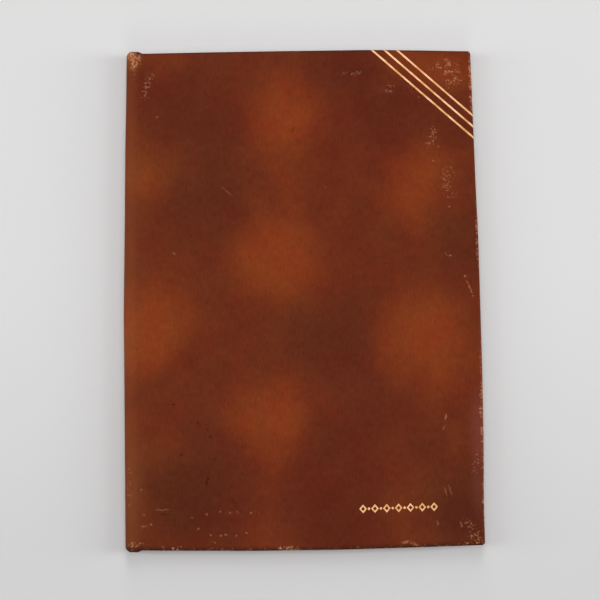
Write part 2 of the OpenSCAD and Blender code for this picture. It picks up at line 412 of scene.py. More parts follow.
def lozenge_tool():
    """One open lozenge: a four-sided prism whose faces are inset and bridged to make a ring."""
    bpy.ops.object.select_all(action="DESELECT")
    bpy.ops.mesh.primitive_cylinder_add(vertices=4, radius=0.5 * MM, depth=2 * MM)
    ring = bpy.context.object
    ring.scale = (LOZENGE_WIDTH, LOZENGE_HEIGHT, 1)
    bpy.ops.object.transform_apply(scale=True)
    choose(ring, "FACE", lambda f: abs(f.normal.z) > 0.9)
    bpy.ops.mesh.inset(thickness=LOZENGE_LINE * SLANT * MM)
    bpy.ops.mesh.bridge_edge_loops()
    bpy.ops.object.mode_set(mode="OBJECT")
    return ring


def ornament_tools(name):
    """A row of lozenges with a dot at each centre and between them."""
    marks = []
    for i in range(LOZENGES):
        x = (i - (LOZENGES - 1) / 2) * LOZENGE_PITCH
        ring = lozenge_tool()
        ring.data.transform(Matrix.Translation(Vector((x, 0, 0)) * MM))
        marks.append(ring)
    for i in range(LOZENGES - 1):
        x = (i + 1 - LOZENGES / 2) * LOZENGE_PITCH
        bpy.ops.object.select_all(action="DESELECT")
        bpy.ops.mesh.primitive_cylinder_add(vertices=12, radius=DOT / 2 * MM, depth=2 * MM)
        dot = bpy.context.object
        dot.data.transform(Matrix.Translation(Vector((x, 0, 0)) * MM))
        marks.append(dot)
    only(*marks)
    bpy.ops.object.join()
    marks[0].data.transform(Matrix.Translation(Vector((ORNAMENT_X, ORNAMENT_Y, 0)) * MM))
    marks[0].name = name
    return marks[0]


# %% Press the gilding
def pressed(tools, name):
    """Turns a set of tools into the foil they leave, and cuts their groove into the front hide."""
    foil = copy_of(tools, name)
    combine(foil, board_form("foil_top", gilt_sink - foil_t), "INTERSECT")
    combine(foil, board_form("foil_floor", gilt_sink), "DIFFERENCE")
    combine(tools, board_form("groove_floor", gilt_sink), "DIFFERENCE")
    for piece in (foil, tools):
        turn_over(piece)
        merge(piece)
    combine(front_hide, tools, "DIFFERENCE")
    tell(foil)
    return foil


gilt_lines = pressed(rule_tools("rule_tools"), "gilt_lines")
gilt_row = pressed(ornament_tools("ornament_tools"), "gilt_row")
merge(front_hide)
tell(front_hide)

# %% [markdown]
# ## Boards
# Grey pasteboard, pressed from layers of pulp. Only its edges could ever be seen, under the
# lining, but it is there, with the small rounding that its two outer corners are given so that
# they don't cut through the leather.

# %% Boards
PLAY, BOARD_BEVEL = 0.02, 0.15


def pasteboard(name):
    """One board inside its hide."""
    board = block(name, (board_x + PLAY, PLAY - board_high[1], hide_t + PLAY),
                  (board_high[0] - PLAY, board_high[1] - PLAY, hide_t + board_t - PLAY))
    choose(board, "EDGE", lambda e: runs_along(e, 2) and middle(e).x > 0)
    bpy.ops.mesh.bevel(offset=board_corner_r * MM, segments=3)
    choose(board, "EDGE", lambda e: not runs_along(e, 2))
    bpy.ops.mesh.bevel(offset=BOARD_BEVEL * MM, segments=1)
    bpy.ops.object.mode_set(mode="OBJECT")
    return board


back_pasteboard = pasteboard("back_pasteboard")
front_pasteboard = pasteboard("front_pasteboard")
turn_over(front_pasteboard)
tell(front_pasteboard)

# %% [markdown]
# ## Lining
# Thin skiver, half a millimetre of split sheepskin, is pasted over the inside. It starts as a
# block on the bare strip. One end is extruded step by step up the board's edge and over the
# board, along the soft slope that a pasted skin takes there. The other end goes round the fold
# and up the spine like the hide.

# %% Lining
CLIMB = [(-2.6, 0.05), (-1.9, 0.3), (-1.2, 0.95), (-0.6, 1.7), (0, 2.1), (0.8, 2.2)]
CLIMB_START, LINING_CORNER = 3.4, 1.5


def lining_sheet(name):
    """Lining of the back cover, from its margin at the fore edge to half the spine."""
    start_x = board_x - CLIMB_START
    sheet = block(name, (fold_x, -lining_y, strip_t), (start_x, lining_y, strip_t + lining_t))
    stops = [(board_x + x, z) for x, z in CLIMB] + [(lining_x, slab_t - strip_t)]
    last_x, last_z = start_x, 0
    for x, z in stops:
        choose(sheet, "FACE", lambda f: f.normal.x > 0.9 and middle(f).x > last_x - 0.01)
        step = Vector((x - last_x, 0, z - last_z)) * MM
        bpy.ops.mesh.extrude_region_move(TRANSFORM_OT_translate={"value": step})
        last_x, last_z = x, z
    choose(sheet, "EDGE", lambda e: runs_along(e, 2) and middle(e).x > 0)
    bpy.ops.mesh.bevel(offset=LINING_CORNER * MM, segments=3)
    round_the_fold(sheet, closed_t / 2)
    return sheet


back_lining_sheet = lining_sheet("back_lining_sheet")
front_lining_sheet = copy_of(back_lining_sheet, "front_lining_sheet")
turn_over(front_lining_sheet)
tell(front_lining_sheet)

# %% [markdown]
# ## Pockets
# Each pocket is a panel of calf, stitched down along three sides and open at its mouth, where a
# notch gives the thumb room. Its edges are creased with a hot tool: a fine groove runs along
# them. The first inset of the top face softens the edge, and three more make the crease: one
# flat, one down and one up.
# Between the stitched hems the panel stands a little off the lining, because leather that has
# held papers never lies flat again.

# %% Pocket panel
POCKET_T, SLACK, HEM, SLOPE, POCKET_CORNER = 1.0, 0.6, 5, 5, 4
CREASE_FROM_EDGE, CREASE_HALF, CREASE_DEPTH = 1.4, 0.3, 0.16
EDGE_WIDTH, EDGE_RISE, POCKET_GRID = 0.18, 0.12, 9


def pocket_panel(name, node, notch_r):
    """A pocket in the back cover's orientation, over the place of its node."""
    low, high = box_mm(node)
    panel = block(name, (low[0], low[1], inside_z), (high[0], high[1], inside_z + POCKET_T))
    choose(panel, "EDGE", lambda e: runs_along(e, 2) and middle(e).y < low[1] + 1)
    bpy.ops.mesh.bevel(offset=POCKET_CORNER * MM, segments=5)
    bpy.ops.object.mode_set(mode="OBJECT")
    bpy.ops.object.select_all(action="DESELECT")
    centre = Vector(((low[0] + high[0]) / 2, high[1], inside_z)) * MM
    bpy.ops.mesh.primitive_cylinder_add(vertices=48, radius=notch_r * MM, depth=6 * MM,
                                        location=centre)
    combine(panel, bpy.context.object, "DIFFERENCE")
    choose(panel, "FACE", lambda f: f.normal.z > 0.9)
    bpy.ops.mesh.inset(thickness=EDGE_WIDTH * MM, depth=EDGE_RISE * MM)
    bpy.ops.mesh.inset(thickness=CREASE_FROM_EDGE * MM)
    bpy.ops.mesh.inset(thickness=CREASE_HALF * MM, depth=-CREASE_DEPTH * MM)
    bpy.ops.mesh.inset(thickness=CREASE_HALF * MM, depth=CREASE_DEPTH * MM)
    bpy.ops.object.mode_set(mode="OBJECT")
    return panel, low, high


# %% [markdown]
# The panel's faces are cut into a grid of strips, so that its middle can be lifted. A bisect with
# a plane is the cut of a rule and a knife.

# %% Cut a piece into a grid
def grid(piece, xs, ys):
    """Cuts a piece along planes across X and across Y, at places in millimetres."""
    choose(piece, "FACE", everything)
    for axis, places in (((1, 0, 0), xs), ((0, 1, 0), ys)):
        for place in places:
            bpy.ops.mesh.select_all(action="SELECT")
            point = Vector(axis) * place * MM
            bpy.ops.mesh.bisect(plane_co=point, plane_no=axis)
    bpy.ops.object.mode_set(mode="OBJECT")


def places_between(low, high, step):
    """Even places between two ends, about one step apart."""
    count = max(2, round((high - low) / step))
    return [low + (high - low) * i / count for i in range(1, count)]


def points_of(piece):
    """All corners of a piece, in millimetres, one row each."""
    found = np.empty(len(piece.data.vertices) * 3)
    piece.data.vertices.foreach_get("co", found)
    return found.reshape(-1, 3) / MM


def move_points(piece, points):
    """Puts the corners of a piece at these places."""
    piece.data.vertices.foreach_set("co", (points * MM).ravel())
    piece.data.update()


def smooth(t):
    """0 below 0, 1 above 1, and a soft step between."""
    t = np.clip(t, 0, 1)
    return t * t * (3 - 2 * t)


# %% Lift the slack part
def pocket(name, node, notch_r):
    """A finished pocket, in the back cover's orientation."""
    panel, low, high = pocket_panel(name, node, notch_r)
    steps = [HEM - 1, HEM, HEM + SLOPE / 3, HEM + SLOPE * 2 / 3, HEM + SLOPE]
    xs = [low[0] + s for s in steps] + [high[0] - s for s in steps]
    xs += places_between(low[0] + HEM + SLOPE, high[0] - HEM - SLOPE, POCKET_GRID)
    ys = [low[1] + s for s in steps] + places_between(low[1] + HEM + SLOPE, high[1], POCKET_GRID)
    grid(panel, xs, ys)
    points = points_of(panel)
    x, y = points[:, 0], points[:, 1]
    inwards = np.minimum(np.minimum(x - low[0], high[0] - x), y - low[1])
    # Its lift varies by a sixth either way, in long waves.
    wave = 0.85 + 0.15 * np.sin(x / 31) * np.cos(y / 43)
    points[:, 2] += SLACK * smooth((inwards - HEM) / SLOPE) * wave
    move_points(panel, points)
    return panel


pad_pocket = pocket("pad_pocket_leather", "pad_pocket", 15)
document_pocket = pocket("document_pocket_leather", "document_pocket", 15)
card_pocket = pocket("card_pocket_leather", "card_pocket", 9)
for piece in (document_pocket, card_pocket):
    turn_over(piece)
for piece in (pad_pocket, document_pocket, card_pocket):
    tell(piece)

# %% [markdown]
# ## Stitching
# Saddle stitches of waxed linen run along the hems, eight to the inch. One stitch is modelled: a
# small ball, its two halves pulled apart into a capsule and its underside sunk in the leather.
# The others are copies, each with its own mesh, joined to one piece for each pocket.

# %% One stitch
STITCH_PITCH, STITCH_LENGTH, THREAD = 3.2, 2.5, 0.55
STITCH_FROM_EDGE, STITCH_FROM_MOUTH, STITCH_LIFT = 3.2, 1.5, 0.05


def one_stitch():
    """A stitch along X that lies half sunk at the origin."""
    bpy.ops.object.select_all(action="DESELECT")
    bpy.ops.mesh.primitive_uv_sphere_add(segments=8, ring_count=6, radius=THREAD / 2 * MM)
    stitch = bpy.context.object
    stitch.data.transform(Matrix.Rotation(math.pi / 2, 4, "Y"))
    pull = (STITCH_LENGTH - THREAD) / 2 * MM
    for side in (-1, 1):
        choose(stitch, "VERT", lambda v: v.co.x * side > 0.01 * MM)
        bpy.ops.transform.translate(value=(side * pull, 0, 0))
    choose(stitch, "VERT", lambda v: abs(v.co.x) <= 0.01 * MM)
    bpy.ops.transform.resize(value=(1, 1.15, 1.15))
    bpy.ops.object.mode_set(mode="OBJECT")
    return stitch


# %% Stitch the pockets
def run_of_stitches(first, last):
    """Centre and direction of each stitch between two points."""
    way = last - first
    count = round(way.length / STITCH_PITCH)
    return [(first + way * (i + 0.5) / count, way.normalized()) for i in range(count)]


def stitches(name, node):
    """The stitching along the three closed sides of a pocket, in the back cover's orientation."""
    low, high = box_mm(node)
    top = inside_z + POCKET_T + STITCH_LIFT
    west, east = low[0] + STITCH_FROM_EDGE, high[0] - STITCH_FROM_EDGE
    south, north = low[1] + STITCH_FROM_EDGE, high[1] - STITCH_FROM_MOUTH
    corners = [Vector((west, north, top)), Vector((west, south, top)),
               Vector((east, south, top)), Vector((east, north, top))]
    pattern, made = one_stitch(), []
    for first, last in zip(corners, corners[1:]):
        for place, way in run_of_stitches(first, last):
            thread = copy_of(pattern, name)
            turn = Matrix.Rotation(math.atan2(way.y, way.x), 4, "Z")
            thread.data.transform(Matrix.Translation(place * MM) @ turn)
            made.append(thread)
    bpy.data.objects.remove(pattern)
    only(*made)
    bpy.ops.object.join()
    made[0].name = made[0].data.name = name
    return made[0]


pad_stitches = stitches("pad_pocket_stitches", "pad_pocket")
document_stitches = stitches("document_pocket_stitches", "document_pocket")
card_stitches = stitches("card_pocket_stitches", "card_pocket")
for piece in (document_stitches, card_stitches):
    turn_over(piece)
for piece in (pad_stitches, document_stitches, card_stitches):
    tell(piece)

# %% [markdown]
# ## Bows of the outline
# No side of the real cover is straight. Boards are cut by hand, the hide shrinks where it was
# wet, and the edges are rubbed. The bows below were measured on the object: where its edge is at
# the few places where it bends. All pieces are moved by the same amount at the same place in
# plan, so they still fit one another. Before that the skins store where each point lies on the
# flat hide, because the fold turns later and a pattern has to turn with it.

# %% Grid of the skins
GRID_STEP, STRIP_STEP = 6, 1.2
across = places_between(board_x, fore_x, GRID_STEP) + [board_x + 1.5, fore_x - 1.5]
along = places_between(-cover_y, cover_y, GRID_STEP)
along += [s * (cover_y - d) for s in (-1, 1) for d in (0.7, 3)]
strip_across = places_between(fold_x, board_x, STRIP_STEP)
cap_along = [s * (spine_y - d) for s in (-1, 1) for d in (0.7, 1.4, 2.2, 3.2, 4.2)]
skins = [back_hide, front_hide, back_lining_sheet, front_lining_sheet]
for skin in skins:
    grid(skin, across + strip_across, along + cap_along)
for piece in (back_pasteboard, front_pasteboard, gilt_lines, gilt_row):
    grid(piece, across, along)
for skin in skins:
    tell(skin)

# %% Bows
SPINE_SIDE = [(-165, -120.7), (-76, -121.3), (-9, -121.9), (48, -121.2), (107, -120.8),
              (137, -120.2), (170, -119.9)]
FORE_SIDE = [(-168, 119.9), (-140, 119.9), (-106, 120.8), (-59, 121.4), (45, 121.2), (70, 120.5),
             (168, 119.3)]
HEAD_SIDE = [(-118, 169.6), (-105, 169.6), (-59, 170.4), (50, 171.3), (92, 170.6), (117, 169.9)]
TAIL_SIDE = [(-118, -170), (-104, -170.7), (-36, -171.9), (28, -172), (77, -171.2), (117, -170.4)]
DROOP, SWELL, CAP_R = 0.35, 0.1, 4


def bow(knots, at, straight):
    """How far an edge lies off its straight line at these places, with the bends softened."""
    places, values = zip(*knots)
    near = [np.interp(at + d, places, values) for d in (-8, -4, 0, 4, 8)]
    return sum(near) / len(near) - straight


def round_caps(x, y):
    """Rounds the outer corners of the spine in plan: a square corner becomes a quarter circle."""
    u = np.clip((spine_x + CAP_R - x) / CAP_R, 0, 1)
    v = np.clip((np.abs(y) - spine_y + CAP_R) / CAP_R, 0, 1)
    pull_x = u - u * np.sqrt(1 - v * v / 2)
    pull_y = v - v * np.sqrt(1 - u * u / 2)
    return x + CAP_R * pull_x, y - np.sign(y) * CAP_R * pull_y


def shaped(points):
    """Where the points of the straight model lie on the real, slightly uneven object."""
    x, y, z = points[:, 0].copy(), points[:, 1].copy(), points[:, 2].copy()
    side = np.where(z > closed_t / 2, 1, -1)
    strip = (x - fold_x) / (board_x - fold_x)
    sag = DROOP * np.where((strip > 0) & (strip < 1), np.sin(np.pi * strip) ** 2, 0)
    # Two waves that cross make the covers faintly uneven.
    swell = np.sin(x / 23 + 1) * np.cos(y / 31) + 0.5 * np.sin(x / 13 - y / 17)
    swell = SWELL * swell * smooth((x - board_x) / 25)
    east = (x - spine_x) / (fore_x - spine_x)
    north = (y + cover_y) / (2 * cover_y)
    dx = (1 - east) * bow(SPINE_SIDE, y, spine_x) + east * bow(FORE_SIDE, y, fore_x)
    dy = (1 - north) * bow(TAIL_SIDE, x, -cover_y) + north * bow(HEAD_SIDE, x, cover_y)
    x, y = round_caps(x, y)
    return np.stack([x + dx, y + dy, z + np.where(side > 0, swell, 0) - side * sag], axis=1)


# %% [markdown]
# The stored place has three numbers: the distance across the flat hide, from the front's fore
# edge over the spine to the back's, the place along the spine, and the height. So the mottling
# runs on round the spine, as it does on a hide that was coloured before it was used.

# %% Store the place on the flat hide
def store_place(piece):
    """Writes each point's place on the unfolded hide to an attribute, in millimetres."""
    x, y, z = points_of(piece).T
    front = z > closed_t / 2
    down = np.where(front, closed_t - z, z)
    flat = np.where(x > fold_x, x, x - down)
    flat = np.where(front, flat, 2 * spine_x - closed_t - flat)
    place = piece.data.attributes.new("place_on_hide", "FLOAT_VECTOR", "POINT")
    place.data.foreach_set("vector", np.stack([flat, y, z], axis=1).astype(np.float32).ravel())


for skin in skins:
    store_place(skin)

body_pieces = skins + [back_pasteboard, front_pasteboard, gilt_lines, gilt_row, pad_pocket,
                       document_pocket, card_pocket, pad_stitches, document_stitches,
                       card_stitches]
for piece in body_pieces:
    move_points(piece, shaped(points_of(piece)))
    only(piece)
    bpy.ops.object.shade_smooth_by_angle(angle=math.radians(40))
    tell(piece)

# %% [markdown]
# ## Materials
# Each material is made from nodes by one small function. Colours are written as the hex values
# that a painter would read from the object, and turned to linear light by another.

# %% Node helpers
MIX_FACTOR, MIX_A, MIX_B = 0, 6, 7


def colour(hex_code):
    """Linear colour of an sRGB hex value."""
    parts = [int(hex_code[i:i + 2], 16) / 255 for i in (1, 3, 5)]
    linear = [c / 12.92 if c <= 0.04045 else ((c + 0.055) / 1.055) ** 2.4 for c in parts]
    return (*linear, 1)


def first_output(node):
    """The output that a node gives with its present settings."""
    return next(output for output in node.outputs if output.enabled)


def add(tree, kind, inputs=None, **settings):
    """Adds a shader node with its settings, and fills its inputs with values, links or nodes."""
    made = tree.nodes.new("ShaderNode" + kind)
    for setting, value in settings.items():
        setattr(made, setting, value)
    for socket, value in (inputs or {}).items():
        if isinstance(value, bpy.types.Node):
            value = first_output(value)
        if isinstance(value, bpy.types.NodeSocket):
            tree.links.new(value, made.inputs[socket])
        else:
            made.inputs[socket].default_value = value
    return made


def start_material(name, **sockets):
    """A new material; its shader's plain numbers are set on the shader itself."""
    material = bpy.data.materials.new(name)
    material.use_nodes = True
    shader = material.node_tree.nodes["Principled BSDF"]
    for socket, value in sockets.items():
        shader.inputs[socket.replace("_", " ")].default_value = value
    return material, material.node_tree, shader


def place_mm(tree):
    """Each point's place on its object, in millimetres."""
    metres = add(tree, "TexCoord").outputs["Object"]
    return add(tree, "VectorMath", {0: metres, 1: (1 / MM,) * 3}, operation="MULTIPLY")


def dress(tree, shader, base, height, rise, strength=1):
    """Gives a shader its colour, and a bump that rises by so many millimetres."""
    bump = add(tree, "Bump", {"Height": height, "Distance": rise * MM, "Strength": strength})
    tree.links.new(first_output(base), shader.inputs["Base Color"])
    tree.links.new(first_output(bump), shader.inputs["Normal"])


def give(piece, material):
    """Puts one material on a piece."""
    piece.data.materials.clear()
    piece.data.materials.append(material)


# %% [markdown]
# ### Mottled calf
# Vegetable tanned calfskin, sprinkled by hand: the craftsman dabs dark dye between places that
# are kept light, in staggered rows, so soft light clouds of some 60 mm stand in a darker brown.
# The clouds lie on the flat hide and run on round the spine to the back. Glazing leaves a low
# gloss and closes the grain. The eye sees fine short streaks along the hide, pores, and pale
# tan where the dye is rubbed away at rims and corners.

# %% Sizes of the calf's patterns
# In millimetres: the noise that frays the clouds, the blots, the patches where the dye has
# separated, the faint cloudiness, the grain's streaks, flecks of wear and their groups, pores.
# The last two say how far a cloud's border and a small mark are moved by their noise.
FRAY, BLOT, DYE_PATCH, CLOUDINESS = 40, 16, 26, 4.5
STREAK_WIDTH, STREAK_LENGTH = 1.3, 4.5
FLECK, CLUMP, PORE_PITCH = 1.5, 6, 3.6
FRAY_REACH, SHAKE = 34, 3

# %% Clouds of the mottling
CALF_LIGHT, CALF_MIDDLE, CALF_DARK = "#7C3413", "#5E2510", "#4F1D0D"
CLOUDS = [
    (-11, 126, 44, 1.0), (82, 76, 50, 0.85), (-114, 91, 36, 0.45), (-16, 27, 51, 1.0),
    (-116, -23, 52, 1.1), (83, -32, 58, 1.05), (-22, -82, 48, 0.95), (-21, -160, 40, 0.3),
    (106, 164, 30, 0.5), (80, 163, 34, 0.6), (-92, 163, 28, 0.4), (-13, 88, 32, 0.4),
    (-97, 78, 34, 0.5), (-38, 66, 20, 0.25), (-4, 66, 20, 0.25), (57, 146, 16, 0.35),
    (-96, 8, 32, 0.35), (-88, -20, 34, 0.45), (-94, -106, 26, 0.3), (-113, -82, 22, 0.3),
    (-30, -122, 24, 0.2), (57, -150, 26, 0.3), (14, -10, 28, 0.2), (-66, 70, 52, -0.55),
    (-83, 137, 50, -0.5), (22, -28, 50, -0.6), (-71, -134, 60, -0.75), (63, 132, 46, -0.6),
    (114, 38, 38, -0.5), (112, -141, 46, -0.6), (22, -150, 56, -0.6), (35, -98, 40, -0.35),
    (20, 152, 34, -0.4), (-14, -148, 26, -0.2), (42, 161, 34, -0.5), (106, 112, 30, -0.45),
    (-54, 112, 36, -0.4), (58, -8, 30, -0.25), (58, -60, 50, -0.22), (86, -106, 24, -0.25),
    (-84, -140, 28, -0.3), (57, 84, 22, -0.25), (106, 72, 24, -0.35), (104, -152, 30, -0.5),
    (4, -100, 30, -0.4),
]
# Where the dye is more olive, above zero, or redder.
PATCHES = [
    (-82, 88, 58, 1.6), (-102, -124, 56, 2.4), (92, -134, 50, 1.8), (106, 44, 34, 1.3),
    (-72, 20, 24, 0.9), (-6, -30, 44, 1.3), (-100, 42, 22, 0.8), (-116, -27, 24, 0.8),
    (106, 84, 24, 0.5), (-84, -16, 26, 0.5), (36, 100, 60, -0.8), (30, 146, 36, -0.5),
    (10, -128, 60, -1.0), (-40, 122, 34, -0.6), (80, 122, 40, -0.6), (56, -64, 56, -0.4),
    (30, 20, 40, -0.4), (-118, 140, 30, -0.8), (-118, 75, 40, -0.6), (-118, 38, 34, -0.9),
]
BACK_CLOUDS = [
    (-180, 128, 58, 0.9), (-176, 22, 56, 1.0), (-184, -86, 58, 0.95), (-232, 76, 56, 0.9),
    (-236, -30, 58, 1.0), (-228, -138, 54, 0.8), (-290, 124, 58, 0.9), (-286, 20, 56, 0.85),
    (-294, -84, 60, 0.9), (-346, 70, 56, 0.9), (-342, -34, 54, 0.8), (-350, -140, 52, 0.8),
    (-205, -32, 50, -0.7), (-262, 60, 50, -0.7), (-258, -112, 52, -0.8), (-318, -30, 52, -0.7),
    (-320, 150, 50, -0.6), (-205, 160, 44, -0.5),
]


def spots(tree, flat, rows):
    """Sum of soft round spots, each given as centre, reach and strength."""
    total = None
    for x, y, reach, strength in rows:
        away = add(tree, "VectorMath", {0: flat, 1: (x, y, 0)}, operation="DISTANCE")
        soft = add(tree, "MapRange", {"Value": away, "From Max": reach, "To Min": strength,
                                      "To Max": 0}, interpolation_type="SMOOTHERSTEP")
        if total is not None:
            soft = add(tree, "Math", {0: total, 1: soft}, operation="ADD")
        total = soft
    return total


def clouds(tree, flat):
    """The clouds round zero: above is light, below is dark. A slow noise frays their borders."""
    drift = add(tree, "TexNoise", {"Vector": flat, "Scale": 1 / FRAY, "Detail": 3})
    centred = add(tree, "VectorMath", {0: drift.outputs["Color"], 1: (0.5, 0.5, 0.5)},
                  operation="SUBTRACT")
    pushed = add(tree, "VectorMath", {0: centred, 1: (FRAY_REACH, FRAY_REACH, 0), 2: flat},
                 operation="MULTIPLY_ADD")
    return spots(tree, pushed, CLOUDS + BACK_CLOUDS)


# %% [markdown]
# Wear is where hands and shelves touched. Lists say where it is on the front, and a short one
# where it is on the back. Each mark has a centre, half its length and half its width, the turn
# of its length in degrees, and a strength. Inside the rubbed places a noise decides which flecks
# have lost their dye. A scratch is a mark that is long and thin. Two lists hold round dots, pale
# ones and dark ones, and one holds short dark strokes. The last two are wide and soft. The first
# is paler: painted sheen along the curve of the spine, and paled dye at the head corner next to
# it. The second is a painted grey-pink sheen along the fore edge.

# %% Rubbed places
RUBBED = [
    (-117.5, 168, 7, 6, 0, 1.0), (-114, 164, 9, 6, 60, 0.75), (-115.5, 155, 7, 2.5, 90, 0.5),
    (-107, 147, 18, 7, 68, 0.36), (104, 158, 17, 9, 5, 0.53), (107, 149, 11, 8, 30, 0.53),
    (92, 110, 13, 6, 70, 0.38), (102, 76, 19, 9, 85, 0.41), (101, 27, 5, 4, 0, 0.35),
    (115, -3, 5, 3, 10, 0.55), (120.5, 148, 34, 3, 90, 0.8), (120.5, 40, 34, 2.6, 90, 0.65),
    (120.5, -80, 70, 3, 90, 0.6), (121, -140, 34, 2.2, 90, 0.6), (120, -81, 12, 3.4, 90, 0.65),
    (-51, -145.5, 18, 1.6, 0, 0.3), (116, -118, 28, 5, 90, 0.3), (113, -161, 15, 7, -59, 0.4),
    (112, -169, 12, 2.4, 0, 0.6), (-86, -169, 8, 2.4, 0, 0.7), (-12, -169, 14, 2.6, 0, 0.7),
    (-114, -167, 9, 5, 20, 0.5), (69, -168, 8, 2.4, -8, 0.5), (38, 154, 14, 3, 5, 0.33),
    (62, 143, 12, 5, -10, 0.27), (89, -155, 4, 3, 0, 0.25), (-118, -128, 34, 3, 90, 0.28),
    (80, 140, 12, 3, -50, 0.25),
]
BACK_RUBBED = [
    (-372, 167, 11, 6, -45, 0.6), (-372, -167, 11, 6, 45, 0.6), (-375, 0, 170, 3, 90, 0.5),
    (-250, 170.5, 110, 2, 0, 0.4), (-250, -170.5, 110, 2, 0, 0.45), (-134, 168, 10, 6, 0, 0.6),
    (-134, -168, 10, 6, 0, 0.6),
]

# %% Scratches, dots and wide marks
SCRATCHES = [
    (114, 4, 7.5, 0.6, -68, 0.5), (67, -166.7, 4.5, 0.8, 10, 0.6), (73.5, -168, 4, 0.8, -35, 0.6),
    (-96, -143.5, 6.5, 0.6, 0, 0.4), (-108, -154.5, 3.5, 0.6, 5, 0.3),
    (95.5, -84, 3, 1, 80, 0.5), (94, -91.5, 3, 0.8, 60, 0.35), (98, -133, 5, 0.7, -68, 0.35),
    (95, -134, 4.5, 0.7, -75, 0.3), (105, -156, 3, 0.9, -70, 0.4), (-51, 72.5, 7, 0.6, -40, 0.22),
]
PALE_DOTS = [
    (-99, 125, 1, 0.7), (-72, -156, 1.1, 0.8), (-63.5, -160, 1.1, 0.7), (-56.8, -160.3, 1, 0.6),
    (-53.5, -160, 1, 0.6), (-46.5, -160.3, 0.9, 0.6), (-39.5, -159, 1, 0.7), (-61, -165, 1, 0.5),
    (-36.5, -145.5, 1, 0.6), (-57, -145, 0.9, 0.5), (-45.7, -145, 0.9, 0.5), (-66, -146.5, 1, 0.5),
    (-76, -148.5, 1, 0.5), (-103.5, -153, 1.1, 0.5), (-108, -147, 1, 0.5),
    (-87, 29.5, 0.9, 0.8), (17, 74.5, 0.9, 0.6), (96, 102, 1, 0.6), (92, 92, 1, 0.6),
    (102, 60, 1, 0.7), (111, 12, 1.3, 0.8), (-110, -130.5, 1, 0.5), (-96, -168, 1.2, 0.6),
]
DARK_DOTS = [
    (-88, -73.5, 1.2, 0.8), (-91.5, -73.5, 1.1, 0.7), (-71.5, -85, 1.3, 0.8),
    (-65.5, -90, 1.3, 0.8), (-63.5, -95, 1.4, 0.9), (-83, -107, 1.4, 0.9), (-60.5, -109, 1.3, 0.7),
    (-65, -123, 1.6, 0.8), (-66, -126, 1.5, 0.8), (-73, -135.5, 1.3, 0.8), (-80, -140, 1.2, 0.6),
    (-42, -119.5, 1.4, 0.6), (57, 21, 1.3, 0.5),
]
DARK_STROKES = [
    (-66, -125, 5, 0.9, 82, 0.7), (-93, -146.5, 6, 0.6, 0, 0.5), (-5, 115, 3, 0.8, 70, 0.4),
    (97, -137, 4, 0.8, -72, 0.5), (-108, 104, 3, 0.7, 60, 0.4),
]
# The first list is paler: painted sheen along the spine's curve, and paled dye at the head corner.
PALED_AND_SPINE_SHEEN = [(-115, -128, 66, 12, 90, 0.13), (-115, 30, 140, 17, 90, 0.08), (-117, 165, 10, 9, 0, 0.3)]
# Painted grey-pink sheen where the fore edge curves.
FORE_EDGE_SHEEN = [(118, -94, 44, 10, 90, 0.17), (118, -132, 34, 9, 90, 0.1), (122, -60, 120, 3, 90, 0.35)]


def marks(tree, flat, rows, core=0.3):
    """The strongest of several soft oval marks; inside its core each has its full strength."""
    total = None
    for x, y, long, wide, turn, strength in rows:
        seen = add(tree, "Mapping", {"Vector": flat, "Location": (x, y, 0),
                                     "Rotation": (0, 0, math.radians(turn)),
                                     "Scale": (long, wide, 1)}, vector_type="TEXTURE")
        far = add(tree, "VectorMath", {0: seen}, operation="LENGTH")
        soft = add(tree, "MapRange", {"Value": far, "From Min": core, "To Min": strength,
                                      "To Max": 0}, interpolation_type="SMOOTHSTEP")
        if total is not None:
            soft = add(tree, "Math", {0: total, 1: soft}, operation="MAXIMUM")
        total = soft
    return total


# %% [markdown]
# The colour before any wear has three parts: the clouds with smaller blots on them, a change
# between redder and more olive dye, and the grain as fine light and dark streaks.

# %% Colour of the dye
REDDER, MORE_OLIVE = (1, 0.8, 0.88, 1), (1, 1.2, 1.12, 1)
PATCH_STRENGTH, BLOT_STRENGTH = 0.28, 0.7


